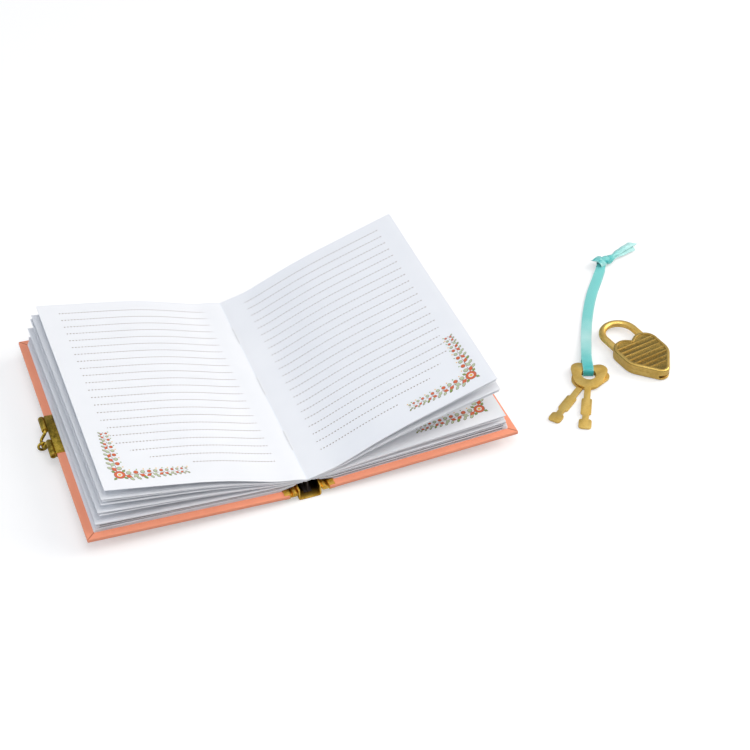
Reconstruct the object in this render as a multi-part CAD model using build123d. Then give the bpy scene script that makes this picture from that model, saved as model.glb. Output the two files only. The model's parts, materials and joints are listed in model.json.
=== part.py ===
from build123d import *
import os
from math import asin, cos, degrees, hypot, radians, sin, sqrt, tan

# A lockable diary, open at its middle: two covered boards hinged on a brass spine channel, sewn
# pages, wire loops on the fore-edges, a heart padlock, and two keys on a satin ribbon.
# Millimetres. +X is the back cover, +Y the head of the book, +Z up, and the origin is the middle
# of the channel's underside.

os.makedirs("parts", exist_ok=True)

# Pages
PAGE_W = 105.0
PAGE_H = 148.0
SQUARE = 4.0  # the cover stands this far past the pages
LEAF_T = 0.2
SIGNATURE_T = 0.95
SIGNATURES = 4
PAPER_GAP = 0.05
PAPER_CLEAR = 0.4  # between folded paper and metal
ENDPAPER_T = 0.2
SPINE_STEP = 2.2  # each fold stands this far past the one under it
GUTTER_Z = 8.9
GUTTER_GAP = 0.5
GUTTER_STEP = 0.34
LEAF_SPACING = 0.42
CREST_RISE = 0.25
SHOULDER_X = 14.0
MIDDLE_SHARE = 0.45
FRONT_BOW = 0.53  # share of the lift that is reached by the middle
BACK_BOW = 0.47
FRONT_LIFTS = (20.1, 14.8, 12.0, 7.0)
BACK_LIFTS = (30.5, 23.6, 4.6)
FRONT_FOLDS = (4.4, 3.1, 3.0, 1.7)  # paper that dives into the fold
BACK_FOLD = 1.1
THREAD_R = 0.22
STITCH_L = 15.0
STITCHES = 3
STITCH_PITCH = 44.0
GUARD_W = 4.0
GUARD_T = 0.3

# Covers
BOARD_T = 1.5
WRAP_T = 0.25
TURN_IN = 14.0
MITRE_W = 0.3
MITRE_DEPTH = 0.15
MITRE_STOP = 1.0  # the mitre fades out this far before the turn-in's inner corner
COVER_TILT = 2.7  # the hinge stops each cover this many degrees short of flat
CORNER_R = 0.4

# Spine channel and its two hinges
CHANNEL_W = 11.6
CHANNEL_H = 6.4
CHANNEL_INSET = 0.5  # the channel ends this far inside the covers' ends
SHEET_T = 0.8
BEND_R = 0.9
AXIS_Z = 4.2
FACE_RISE = 0.6  # the cover's inner face above the hinge axis
KNUCKLE_R = 1.3
KNUCKLES = 5
KNUCKLE_GAP = 0.3
PIN_R = 0.6
RUN_FIT = 0.05
HINGE_GAP = 0.25
STRIP_T = 0.45
STRIP_GRIP = 2.6
STRIP_OFFSET = 2.9  # the board's edge from the hinge axis

# Clasps
CLASP_L = 29.0
CLASP_GRIP = 3.9
CLASP_T = 0.4
CLASP_KNUCKLE_R = 1.6
CLASP_SEAT = 0.15
LOWER_KNUCKLE_L = 11.0
UPPER_KNUCKLE_L = 9.5
WIRE_R = 0.8
BAIL_REACH = 5.2
BAIL_SIDE = 1.15  # from a knuckle's end to the middle of the wire beside it
BAIL_BEND = 1.2
FRONT_BAIL_DROP = 60.0
BACK_BAIL_DROP = 35.0
BAIL_END = 0.6
RING_R = 2.1
RING_WIRE_R = 0.7
RING_LEAN = 0.1875  # how much of the ring's play along the bail lies below it
HANG_GAP = 0.08

# Padlock, lying on its back
LOCK_X = 198.4
LOCK_Y = -41.6
LOCK_TURN = 11.0
LOBE_R = 7.2
LOBE_X = 6.05
LOBE_Y = 8.3
BULGE_R = 11.0
BULGE_X = 2.25
BULGE_Y = 0.8
TIP_R = 4.6
TIP_Y = -12.4
HALF_T = 3.3
LOCK_WALL = 1.8
LOCK_PLATE = 1.3
LOCK_ROUND = 1.0
RIM_W = 1.7
FIELD_DEPTH = 0.5
RIB_W = 0.6
RIB_H = 0.3
RIBS = 7
RIB_PITCH = 3.3
SHACKLE_R = 1.9
LEG_X = 9.2
SHACKLE_RISE = 18.2  # above the lobes
LEG_FIT = 0.08
LONG_LEG_Y = 2.0
LEG_FOOT = 1.2
SHACKLE_TRAVEL = 6.5
SHORT_LEG_Y = 9.4
STOP_PIN_R = 0.8
STOP_BITE = 0.7
NOTCH_H = 1.3
NOTCH_RISE = 1.2
CATCH_T = 0.5
CATCH_H = 2.4
CATCH_NOSE = 2.0
SPRING_R = 1.3
SPRING_WALL = 0.4
RIVET_R = 0.8
RIVET_HEAD_R = 1.25
RIVET_HEAD_T = 0.5
BOSS_R = 1.6
TOP_RIVET_Y = 5.5
SIDE_RIVET_X = 5.8
SIDE_RIVET_Y = -4.5
KEYWAY_W = 6.6
KEYWAY_H = 1.5

# Keys
HOLE_X = 164.4
HOLE_Y = -43.6
KEY_T = 1.0
KEY_REACH = 40.0  # from the middle of the bow's hole to the tip
BOW_LOBE_R = 4.2
BOW_LOBE_X = 5.4
BOW_LOBE_Y = 4.1
BOW_CHIN_R = 7.9
BOW_CHIN_Y = -2.2
BOW_HOLE_R = 3.8
NECK_W = 3.4
STEM_W = 5.4
STEM_L = 11.5
STEM_ROUND = 1.1
BIT_W = 6.6
BIT_L = 6.6
BIT_ROUND = 1.8
BIT_NECK = 3.6
FRONT_KEY_TURN = -28.3
REAR_KEY_TURN = -52.0
KEY_GAP = 0.12

# Ribbon, a satin strip doubled through both bows and knotted
RIBBON_W = 5.0
RIBBON_T = 0.35
RIBBON_GAP = 0.1
RIBBON_ROUTE = [
    (164.9, -42.3),
    (171.2, -25.0),
    (179.2, -8.0),
    (187.6, 8.0),
    (196.2, 21.6),
    (205.2, 33.2),
    (215.2, 44.2),
]
RIBBON_TAILS = [(242.2, 54.7), (238.2, 49.0)]
FORK_DEPTH = 3.0
BEND_SHARE = 0.45
KNOT_L = 9.0
KNOT_R = 2.6
KNOT_NECK = 0.6
DROP_AT = 1.8  # where the ribbon goes down through the bows, from the hole's middle
RAMP_L = 26.0

COVER_H = PAGE_H + 2 * SQUARE
COVER_T = BOARD_T + 2 * WRAP_T
OUTER_Z = FACE_RISE - COVER_T
AXIS_X = CHANNEL_W / 2 + HINGE_GAP + KNUCKLE_R
FORE_U = PAGE_W + SQUARE - AXIS_X
CHANNEL_L = COVER_H - 2 * CHANNEL_INSET
PAGES_Z = FACE_RISE + ENDPAPER_T
BLOCK_T = SIGNATURES * SIGNATURE_T
nodes = {}


def slab(x, y, z):
    """A flat plate between three pairs of limits."""
    middle = Pos((x[0] + x[1]) / 2, (y[0] + y[1]) / 2, (z[0] + z[1]) / 2)
    return middle * Box(x[1] - x[0], y[1] - y[0], z[1] - z[0])


def along_y(section, length, y=0.0):
    """A section drawn in X and Z, drawn out evenly both ways along Y."""
    return Pos(0, y, 0) * extrude(Plane.XZ * section, amount=length / 2, both=True)


def bend_radii(points):
    """For each corner, the largest arc that its two runs leave room for."""
    radii = []
    for a, b, c in zip(points, points[1:], points[2:]):
        before = Vector(*b) - Vector(*a)
        after = Vector(*c) - Vector(*b)
        turn = radians(before.get_angle(after))
        radii.append(BEND_SHARE * min(before.length, after.length) / tan(turn / 2))
    return radii


def place_back(piece):
    """From the cover's own frame, with the hinge axis at its origin, to the open book."""
    return Pos(AXIS_X, 0, AXIS_Z) * Rot(0, -COVER_TILT, 0) * piece


def place_front(piece):
    return mirror(place_back(piece), about=Plane.YZ)


def both_covers(name, piece):
    nodes[f"front_{name}"] = place_front(piece)
    nodes[f"back_{name}"] = place_back(piece)


# Spine channel: a folded brass trough with knuckles curled out of its walls.
knuckle_l = CHANNEL_L / KNUCKLES


def knuckles(tongue, first, bore_r):
    """Every second knuckle of a hinge round the origin, each with the tongue that it curls from."""
    curl = Circle(KNUCKLE_R) + tongue - Circle(bore_r)
    rows = range(first, KNUCKLES, 2)
    places = [(i + 0.5) * knuckle_l - CHANNEL_L / 2 for i in rows]
    return [along_y(curl, knuckle_l - KNUCKLE_GAP, y) for y in places]


def spine_channel():
    side = (CHANNEL_W - SHEET_T) / 2
    base = SHEET_T / 2
    bends = FilletPolyline((-side, CHANNEL_H), (-side, base), (side, base), (side, CHANNEL_H), radius=BEND_R)
    trough = along_y(trace(bends, SHEET_T), CHANNEL_L)
    reach = AXIS_X - side
    tongue = Pos(-reach / 2, KNUCKLE_R - STRIP_T / 2) * Rectangle(reach, STRIP_T)
    curls = [Pos(AXIS_X, 0, AXIS_Z) * k for k in knuckles(tongue, 1, PIN_R)]
    mirrored = [mirror(k, about=Plane.YZ) for k in curls]
    return trough + curls + mirrored


def hinge_pin():
    return Pos(AXIS_X, 0, AXIS_Z) * Rot(90, 0, 0) * Cylinder(PIN_R, CHANNEL_L)


nodes["spine_channel"] = spine_channel()
nodes["back_hinge_pin"] = hinge_pin()
nodes["front_hinge_pin"] = mirror(hinge_pin(), about=Plane.YZ)


# Hinge strip: a folded clip on the board's inner edge, with the other knuckles.
def hinge_strip():
    top = FACE_RISE + STRIP_T / 2
    under = OUTER_Z - STRIP_T / 2
    web = STRIP_OFFSET - STRIP_T / 2
    lip = STRIP_OFFSET + STRIP_GRIP
    clip = along_y(trace(Polyline((lip, top), (web, top), (web, under), (lip, under)), STRIP_T), CHANNEL_L)
    tongue = Pos(web / 2, STRIP_T / 2 - KNUCKLE_R) * Rectangle(web, STRIP_T)
    return clip + knuckles(tongue, 0, PIN_R + RUN_FIT)


both_covers("hinge_strip", hinge_strip())


# Cover: a grey board in a coral wrap with its edges turned in, and a pasted endpaper.
def cover_board():
    half = COVER_H / 2 - WRAP_T
    return slab((STRIP_OFFSET, FORE_U - WRAP_T), (-half, half), (OUTER_Z + WRAP_T, FACE_RISE - WRAP_T))


def cover_wrap():
    half = COVER_H / 2
    block = slab((STRIP_OFFSET, FORE_U), (-half, half), (OUTER_Z, FACE_RISE))
    block = fillet(block.edges().filter_by(Axis.Z).sort_by(Axis.X)[-2:], CORNER_R)
    window_half = half - TURN_IN
    window = slab((STRIP_OFFSET, FORE_U - TURN_IN), (-window_half, window_half), (FACE_RISE - WRAP_T, FACE_RISE))
    wrap = block - cover_board() - window
    mitre_l = 2 * sqrt(2) * (TURN_IN - MITRE_STOP)
    for side in (-1, 1):
        cut = Box(mitre_l, MITRE_W, 2 * MITRE_DEPTH)
        wrap -= Pos(FORE_U, side * half, FACE_RISE) * Rot(0, 0, side * 45) * cut
    return wrap


def endpaper():
    inner = STRIP_OFFSET + STRIP_GRIP + PAPER_CLEAR
    half = PAGE_H / 2
    sheet = slab((inner, FORE_U - SQUARE), (-half, half), (FACE_RISE, PAGES_Z))
    panel_half = COVER_H / 2 - TURN_IN - PAPER_GAP
    panel = slab((inner, FORE_U - TURN_IN - PAPER_GAP), (-panel_half, panel_half), (FACE_RISE - WRAP_T, FACE_RISE))
    return sheet + panel


both_covers("cover_board", cover_board())
both_covers("cover_wrap", cover_wrap())
both_covers("endpaper", endpaper())


# Signatures: folded sheets, rounded at the fold. As a cover closes, its lower signatures stay
# outside the channel's wall, and the top one swings over it into the trough.
def signature(number):
    low = PAGES_Z + number * SIGNATURE_T
    wall_r = hypot(AXIS_X - CHANNEL_W / 2 + SHEET_T, CHANNEL_H - AXIS_Z) + PAPER_CLEAR
    fold = SHEET_T + PAPER_CLEAR - AXIS_Z
    if low < wall_r:
        fold = sqrt(wall_r**2 - low**2)
    if number == 0:
        fold = STRIP_OFFSET + STRIP_GRIP + PAPER_CLEAR
    fore = FORE_U - SQUARE - number * PAPER_CLEAR
    fold_r = SIGNATURE_T / 2
    middle = low + fold_r
    body = Pos((fold + fold_r + fore) / 2, middle) * Rectangle(fore - fold - fold_r, SIGNATURE_T)
    return along_y(body + Pos(fold + fold_r, middle) * Circle(fold_r), PAGE_H)


for number in range(SIGNATURES):
    both_covers(f"signature_{number + 1}", signature(number))


# Spine guard: a folded cloth strip in the channel, which the leaves are tipped on to.
def spine_guard():
    rib_h = GUTTER_Z - SHEET_T
    foot = Pos(0, SHEET_T + GUARD_T / 2) * Rectangle(GUARD_W, GUARD_T)
    return along_y(foot + Pos(0, SHEET_T + rib_h / 2) * Rectangle(GUTTER_GAP, rib_h), PAGE_H)


guard = spine_guard()
nodes["spine_guard"] = guard


# Leaves: single sheets that rise out of the fold and fan out towards the fore-edge.
def block_top(x):
    return AXIS_Z + PAGES_Z + BLOCK_T + (x - AXIS_X) * tan(radians(COVER_TILT))


def leaf(number, lifts, bow, fold):
    lift = lifts[number]
    above = LEAF_T / 2 + PAPER_GAP + (len(lifts) - 1 - number) * LEAF_SPACING
    root_z = GUTTER_Z - LEAF_T - number * GUTTER_STEP
    rise = block_top(PAGE_W) + lift - root_z
    reach = sqrt((PAGE_W - fold) ** 2 - rise**2)
    crest_x = AXIS_X + SHEET_T + PAPER_CLEAR - AXIS_Z
    middle_x = MIDDLE_SHARE * reach
    points = [
        (GUTTER_GAP / 4, root_z),
        (crest_x, block_top(crest_x) + above + CREST_RISE),
        (SHOULDER_X, block_top(SHOULDER_X) + above + lift * SHOULDER_X / PAGE_W / 2),
        (middle_x, block_top(middle_x) + above + bow * lift),
        (reach, root_z + rise),
    ]
    line = FilletPolyline(*points, radius=bend_radii(points))
    return along_y(trace(line, LEAF_T), PAGE_H) - guard


for number in range(len(FRONT_LIFTS)):
    nodes[f"front_leaf_{number + 1}"] = mirror(leaf(number, FRONT_LIFTS, FRONT_BOW, FRONT_FOLDS[number]), about=Plane.YZ)
for number in range(len(BACK_LIFTS)):
    nodes[f"back_leaf_{number + 1}"] = leaf(number, BACK_LIFTS, BACK_BOW, BACK_FOLD)


def sewing_thread():
    stitch = Rot(90, 0, 0) * Cylinder(THREAD_R, STITCH_L)
    places = [(i - (STITCHES - 1) / 2) * STITCH_PITCH for i in range(STITCHES)]
    return Compound([Pos(0, y, GUTTER_Z + THREAD_R) * stitch for y in places])


nodes["sewing_thread"] = sewing_thread()

# Clasp: a folded plate on the fore-edge with two curled knuckles, and a wire bail between them.
clasp_u = FORE_U + CLASP_T + CLASP_KNUCKLE_R - CLASP_SEAT
clasp_z = FACE_RISE + CLASP_T - CLASP_KNUCKLE_R
gap_low = LOWER_KNUCKLE_L - CLASP_L / 2
gap_high = CLASP_L / 2 - UPPER_KNUCKLE_L


def clasp_plate():
    inside = FORE_U - CLASP_GRIP
    web = FORE_U + CLASP_T / 2
    top = FACE_RISE + CLASP_T / 2
    under = OUTER_Z - CLASP_T / 2
    plate = along_y(trace(Polyline((inside, top), (web, top), (web, under), (inside, under)), CLASP_T), CLASP_L)
    curl = Pos(clasp_u, clasp_z) * (Circle(CLASP_KNUCKLE_R) - Circle(WIRE_R + RUN_FIT))
    lower = along_y(curl, LOWER_KNUCKLE_L, (LOWER_KNUCKLE_L - CLASP_L) / 2)
    upper = along_y(curl, UPPER_KNUCKLE_L, (CLASP_L - UPPER_KNUCKLE_L) / 2)
    return plate + lower + upper


def clasp_bail(drop):
    low = gap_low + BAIL_SIDE
    high = gap_high - BAIL_SIDE
    end = CLASP_L / 2 - BAIL_END
    route = FilletPolyline(
        (0, -end), (0, low), (BAIL_REACH, low), (BAIL_REACH, high), (0, high), (0, end), radius=BAIL_BEND
    )
    wire = sweep(Plane(origin=route @ 0, z_dir=route % 0) * Circle(WIRE_R), path=route)
    return Pos(clasp_u, 0, clasp_z) * Rot(0, drop, 0) * wire


def clasp_ring():
    apex_u = clasp_u + BAIL_REACH * cos(radians(FRONT_BAIL_DROP))
    apex_z = clasp_z - BAIL_REACH * sin(radians(FRONT_BAIL_DROP))
    drop = RING_R - RING_WIRE_R - WIRE_R - HANG_GAP
    lowest_y = gap_low + BAIL_SIDE + WIRE_R + RING_WIRE_R
    highest_y = gap_high - BAIL_SIDE - WIRE_R - RING_WIRE_R
    middle_y = lowest_y + RING_LEAN * (highest_y - lowest_y)
    return Pos(apex_u, middle_y, apex_z - drop) * Rot(90, 0, 0) * Torus(RING_R, RING_WIRE_R)


both_covers("clasp_plate", clasp_plate())
nodes["front_clasp_bail"] = place_front(clasp_bail(FRONT_BAIL_DROP))
nodes["back_clasp_bail"] = place_back(clasp_bail(BACK_BAIL_DROP))
nodes["clasp_ring"] = place_front(clasp_ring())


# Padlock: two heart-shaped pressings on rivets, a sprung shackle, its stop pin and a leaf catch.
def heart(inset=0.0):
    """The heart's outline, or the same drawn in by an even wall."""
    halves = []
    for side in (-1, 1):
        lobe = Pos(side * LOBE_X, LOBE_Y) * Circle(LOBE_R - inset)
        bulge = Pos(side * BULGE_X, BULGE_Y) * Circle(BULGE_R - inset)
        tip = Pos(0, TIP_Y) * Circle(TIP_R - min(inset, TIP_R / 2))
        halves.append(make_hull(lobe.edges() + bulge.edges() + tip.edges()))
    return halves[0] + halves[1]


lobe_top = LOBE_Y + LOBE_R
rivet_places = [(0, TOP_RIVET_Y), (-SIDE_RIVET_X, SIDE_RIVET_Y), (SIDE_RIVET_X, SIDE_RIVET_Y)]
stop_x = SHACKLE_R - STOP_BITE + STOP_PIN_R - LEG_X
stop_y = LONG_LEG_Y + LEG_FOOT + SHACKLE_TRAVEL + STOP_PIN_R
notch_y = SHORT_LEG_Y + NOTCH_RISE
lock_place = Pos(LOCK_X, LOCK_Y, 0) * Rot(0, 0, LOCK_TURN)


def legs_cut():
    hole_l = lobe_top - LONG_LEG_Y
    hole = Rot(90, 0, 0) * Cylinder(SHACKLE_R + LEG_FIT, hole_l)
    return [Pos(x, lobe_top - hole_l / 2, HALF_T) * hole for x in (-LEG_X, LEG_X)]


def at_rivets(piece):
    return [Pos(x, y, 0) * piece for x, y in rivet_places]


def post(radius, low, high):
    return Pos(0, 0, (low + high) / 2) * Cylinder(radius, high - low)


def lock_back():
    shell = extrude(heart(), HALF_T)
    shell = fillet(shell.faces().sort_by(Axis.Z)[0].edges(), LOCK_ROUND)
    shell -= Pos(0, 0, LOCK_PLATE) * extrude(heart(LOCK_WALL), HALF_T)
    shell += at_rivets(post(BOSS_R, LOCK_PLATE / 2, HALF_T))
    shell -= at_rivets(post(RIVET_R, 0, HALF_T))
    shell -= at_rivets(post(RIVET_HEAD_R, 0, RIVET_HEAD_T))
    shell -= legs_cut()
    shell -= Pos(stop_x, stop_y, 0) * post(STOP_PIN_R, LOCK_PLATE / 2, HALF_T)
    keyway_z = (LOCK_PLATE + HALF_T) / 2
    return shell - Pos(0, TIP_Y, keyway_z) * Box(KEYWAY_W, 4 * TIP_R, KEYWAY_H)


def lock_front():
    top = 2 * HALF_T
    shell = extrude(heart(), HALF_T)
    shell = fillet(shell.faces().sort_by(Axis.Z)[-1].edges(), LOCK_ROUND)
    shell -= extrude(heart(LOCK_WALL), HALF_T - LOCK_PLATE - FIELD_DEPTH)
    field = extrude(heart(RIM_W), FIELD_DEPTH)
    shell -= Pos(0, 0, HALF_T - FIELD_DEPTH) * field
    rows = [(i - (RIBS - 1) / 2) * RIB_PITCH for i in range(RIBS)]
    bars = [Pos(0, y, RIB_H / 2) * Box(4 * LOBE_X, RIB_W, RIB_H) for y in rows]
    ribs = extrude(heart(RIM_W), RIB_H) & (bars[0] + bars[1:])
    shell += Pos(0, 0, HALF_T - FIELD_DEPTH) * ribs
    shell = Pos(0, 0, HALF_T) * shell
    under_plate = top - FIELD_DEPTH - LOCK_PLATE
    shell += at_rivets(post(BOSS_R, HALF_T, under_plate + LOCK_PLATE / 2))
    shell -= at_rivets(post(RIVET_R, HALF_T, under_plate))
    shell -= Pos(stop_x, stop_y, 0) * post(STOP_PIN_R, HALF_T, under_plate)
    return shell - legs_cut()


def lock_shackle():
    top = lobe_top + SHACKLE_RISE - SHACKLE_R
    shoulder = top - LEG_X
    long_leg = Line((-LEG_X, LONG_LEG_Y), (-LEG_X, shoulder))
    bow = ThreePointArc((-LEG_X, shoulder), (0, top), (LEG_X, shoulder))
    short_leg = Line((LEG_X, shoulder), (LEG_X, SHORT_LEG_Y))
    route = long_leg + bow + short_leg
    rod = sweep(Plane(origin=(-LEG_X, LONG_LEG_Y, 0), z_dir=(0, 1, 0)) * Circle(SHACKLE_R), path=route)
    slot_l = SHACKLE_TRAVEL + 2 * STOP_PIN_R + 2 * LEG_FIT
    slot_y = stop_y - SHACKLE_TRAVEL / 2
    rod -= Pos(SHACKLE_R - LEG_X, slot_y, 0) * Box(2 * (STOP_BITE + LEG_FIT), slot_l, 2 * SHACKLE_R)
    notch = Box(2 * STOP_BITE, NOTCH_H, 2 * SHACKLE_R)
    rod -= Pos(LEG_X - SHACKLE_R, notch_y + NOTCH_H / 2, 0) * notch
    return Pos(0, 0, HALF_T) * rod


def lock_catch():
    """A bent leaf whose foot wraps the top rivet's boss and whose nose drops into the notch."""
    foot = BOSS_R + CATCH_T / 2 + LEG_FIT
    nose_x = LEG_X - SHACKLE_R + STOP_BITE - LEG_FIT
    nose_y = notch_y + NOTCH_H / 2
    wrapped = [(foot, TOP_RIVET_Y - BOSS_R), (foot, TOP_RIVET_Y + BOSS_R)]
    route = Polyline(*wrapped, (nose_x - CATCH_NOSE, nose_y), (nose_x, nose_y))
    return Pos(0, 0, HALF_T - CATCH_H / 2) * extrude(trace(route, CATCH_T), CATCH_H)


def lock_spring():
    low = BULGE_Y - sqrt((BULGE_R - LOCK_WALL) ** 2 - (LEG_X + SPRING_R - BULGE_X) ** 2) + LEG_FIT
    length = LONG_LEG_Y - LEG_FIT - low
    coil = Cylinder(SPRING_R, length) - Cylinder(SPRING_R - SPRING_WALL, length)
    return Pos(-LEG_X, low + length / 2, HALF_T) * Rot(90, 0, 0) * coil


def lock_rivets():
    under_plate = 2 * HALF_T - FIELD_DEPTH - LOCK_PLATE
    rivet = post(RIVET_R, 0, under_plate) + post(RIVET_HEAD_R, 0, RIVET_HEAD_T)
    return Compound(at_rivets(rivet))


def lock_stop_pin():
    under_plate = 2 * HALF_T - FIELD_DEPTH - LOCK_PLATE
    return Pos(stop_x, stop_y, 0) * post(STOP_PIN_R, LOCK_PLATE / 2, under_plate)


nodes["padlock_back"] = lock_place * lock_back()
nodes["padlock_front"] = lock_place * lock_front()
nodes["padlock_shackle"] = lock_place * lock_shackle()
nodes["padlock_catch"] = lock_place * lock_catch()
nodes["padlock_spring"] = lock_place * lock_spring()
nodes["padlock_rivets"] = lock_place * lock_rivets()
nodes["padlock_stop_pin"] = lock_place * lock_stop_pin()


# Keys: flat stampings with a heart bow, a waisted stem and a T-shaped bit.
def key_blank():
    lobes = [Pos(side * BOW_LOBE_X, BOW_LOBE_Y) * Circle(BOW_LOBE_R) for side in (-1, 1)]
    chin = Pos(0, BOW_CHIN_Y) * Circle(BOW_CHIN_R)
    bow = [make_hull(lobe.edges() + chin.edges()) for lobe in lobes]
    neck_l = KEY_REACH + BOW_CHIN_Y - BIT_L / 2
    neck = Pos(0, BOW_CHIN_Y - neck_l / 2) * Rectangle(NECK_W, neck_l)
    bit_y = BIT_L / 2 - KEY_REACH
    bit = Pos(0, bit_y) * RectangleRounded(BIT_W, BIT_L, BIT_ROUND)
    stem_y = bit_y + BIT_L / 2 + BIT_NECK + STEM_L / 2
    stem = Pos(0, stem_y) * RectangleRounded(STEM_W, STEM_L, STEM_ROUND)
    return extrude(bow[0] + bow[1] + neck + stem + bit - Circle(BOW_HOLE_R), KEY_T)


def place_key(turn, rest_z):
    lean = degrees(asin((rest_z - KEY_GAP) / KEY_REACH))
    return Pos(HOLE_X, HOLE_Y, rest_z) * Rot(0, 0, turn) * Rot(lean, 0, 0) * key_blank()


# The front key lies across the rear one's stem and touches the table with its tip.
rear_z = RIBBON_T + RIBBON_GAP + KEY_GAP
cross = STEM_W / 2 / tan(radians(FRONT_KEY_TURN - REAR_KEY_TURN) / 2)
cross_z = rear_z + KEY_T - (rear_z - KEY_GAP) * cross / KEY_REACH
front_z = KEY_GAP + cross_z * KEY_REACH / (KEY_REACH - cross)
nodes["rear_key"] = place_key(REAR_KEY_TURN, rear_z)
nodes["front_key"] = place_key(FRONT_KEY_TURN, front_z)


# Ribbon: the lower strand lies on the table, and the upper one comes up through both bows.
def heading(start, end):
    """The turn about Z that points X from one place to another."""
    return Vector(1, 0).get_signed_angle(Vector(*end) - Vector(*start), Vector(0, 0, 1))


run_turn = heading(RIBBON_ROUTE[0], RIBBON_ROUTE[1])
drop_x = HOLE_X + (DROP_AT - RIBBON_T / 2) * cos(radians(run_turn))
drop_y = HOLE_Y + (DROP_AT - RIBBON_T / 2) * sin(radians(run_turn))
route_points = [(drop_x, drop_y)] + RIBBON_ROUTE[1:]
knot_place = Pos(*RIBBON_ROUTE[-1], KNOT_R) * Rot(0, 0, heading(RIBBON_ROUTE[-2], RIBBON_ROUTE[-1]))


ribbon_radii = bend_radii(route_points)
print("ribbon radii", [round(r) for r in ribbon_radii])


def ribbon_plan():
    return trace(FilletPolyline(*route_points, radius=ribbon_radii), RIBBON_W)


def ribbon_knot():
    half = KNOT_L / 2
    end = KNOT_R * KNOT_NECK
    bulge = Spline((-half, end), (0, KNOT_R), (half, end))
    ends = Polyline((half, end), (half, 0), (-half, 0), (-half, end))
    return knot_place * revolve(make_face(bulge + ends), axis=Axis.X)


def upper_strand():
    bow_top = front_z + KEY_T + RIBBON_GAP + (BOW_LOBE_Y + BOW_LOBE_R) * front_z / KEY_REACH
    level = bow_top + RIBBON_T / 2
    laid = RIBBON_T + RIBBON_GAP + RIBBON_T / 2
    past = 2 * hypot(RIBBON_ROUTE[-1][0] - HOLE_X, RIBBON_ROUTE[-1][1] - HOLE_Y)
    over = DROP_AT + BOW_LOBE_Y + BOW_LOBE_R + BOW_HOLE_R
    side = Polyline((DROP_AT, RIBBON_T), (DROP_AT, level), (over, level), (over + RAMP_L, laid), (past, laid))
    sheet = extrude(Plane.XZ * trace(side, RIBBON_T), amount=past, both=True)
    return extrude(ribbon_plan(), 2 * level) & (Pos(HOLE_X, HOLE_Y, 0) * Rot(0, 0, run_turn) * sheet)


def ribbon_tail(tip, level):
    start = RIBBON_ROUTE[-1]
    length = hypot(tip[0] - start[0], tip[1] - start[1])
    strip = Pos(length / 2, 0) * Rectangle(length, RIBBON_W)
    strip -= Pos(length, 0) * Rot(0, 0, 45) * Rectangle(FORK_DEPTH * sqrt(2), FORK_DEPTH * sqrt(2))
    return Pos(*start, level) * Rot(0, 0, heading(start, tip)) * extrude(strip, RIBBON_T)


knot = ribbon_knot()
nodes["ribbon_knot"] = knot
nodes["ribbon_lower"] = extrude(ribbon_plan(), RIBBON_T) - knot
nodes["ribbon_upper"] = upper_strand() - knot
levels = (KNOT_R - RIBBON_T / 2, KNOT_R + RIBBON_T)
tails = [ribbon_tail(tip, level) - knot for tip, level in zip(RIBBON_TAILS, levels)]
nodes["ribbon_tails"] = Compound([t.solids().sort_by(Axis.X)[-1] for t in tails])

for name, shape in nodes.items():
    export_step(shape, f"parts/{name}.step")
print(len(nodes), "nodes; hinge axis", round(AXIS_X, 3), AXIS_Z, "fore-edge", round(FORE_U, 2))
print("clasp axis", round(clasp_u, 3), round(clasp_z, 3), "gutter", GUTTER_Z, "key heights", round(rear_z, 2), round(front_z, 2))
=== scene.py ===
# %% [markdown]
# # A diary with a lock
#
# This lesson dresses a small lockable diary that lies open on a table, with its heart padlock and two
# keys on a ribbon beside it. The solid model arrives first, with every joint in its place. Each visible
# piece is then given the shape, edge and finish of the real thing, without moving any joint.

# %% Load the solid model
import json
import math
import random

import bpy
import numpy as np
from mathutils import Matrix, Vector

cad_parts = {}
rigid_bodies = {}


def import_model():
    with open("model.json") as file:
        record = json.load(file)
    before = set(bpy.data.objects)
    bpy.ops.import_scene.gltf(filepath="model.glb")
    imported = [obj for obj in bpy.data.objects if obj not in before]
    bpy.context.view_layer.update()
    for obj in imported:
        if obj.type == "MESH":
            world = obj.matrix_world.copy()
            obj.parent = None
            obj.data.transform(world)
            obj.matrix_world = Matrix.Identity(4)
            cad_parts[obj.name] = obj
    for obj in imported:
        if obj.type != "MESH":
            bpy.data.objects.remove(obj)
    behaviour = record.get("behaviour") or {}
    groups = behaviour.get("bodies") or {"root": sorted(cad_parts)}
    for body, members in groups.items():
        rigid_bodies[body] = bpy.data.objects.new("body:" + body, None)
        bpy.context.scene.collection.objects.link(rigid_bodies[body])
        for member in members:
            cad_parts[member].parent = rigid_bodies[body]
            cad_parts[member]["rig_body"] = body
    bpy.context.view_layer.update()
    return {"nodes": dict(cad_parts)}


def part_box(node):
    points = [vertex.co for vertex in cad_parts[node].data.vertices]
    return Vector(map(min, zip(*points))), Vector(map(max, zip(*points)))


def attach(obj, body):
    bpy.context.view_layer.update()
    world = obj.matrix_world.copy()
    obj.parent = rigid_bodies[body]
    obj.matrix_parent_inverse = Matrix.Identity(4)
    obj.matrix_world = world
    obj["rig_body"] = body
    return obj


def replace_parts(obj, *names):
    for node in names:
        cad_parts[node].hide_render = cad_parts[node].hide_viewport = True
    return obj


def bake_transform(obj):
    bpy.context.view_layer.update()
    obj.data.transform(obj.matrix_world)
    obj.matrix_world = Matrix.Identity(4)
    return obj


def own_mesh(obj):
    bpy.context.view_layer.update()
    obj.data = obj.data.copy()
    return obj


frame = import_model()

MM = 0.001
nodes = frame["nodes"]

# %% [markdown]
# ## Camera
#
# A product photographer stands back and uses a long lens, so that the book's edges stay nearly parallel.
# The camera looks down at 40 degrees, a little from the left. Setting it first means that every later
# choice of shape and light is judged from the same place.

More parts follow.
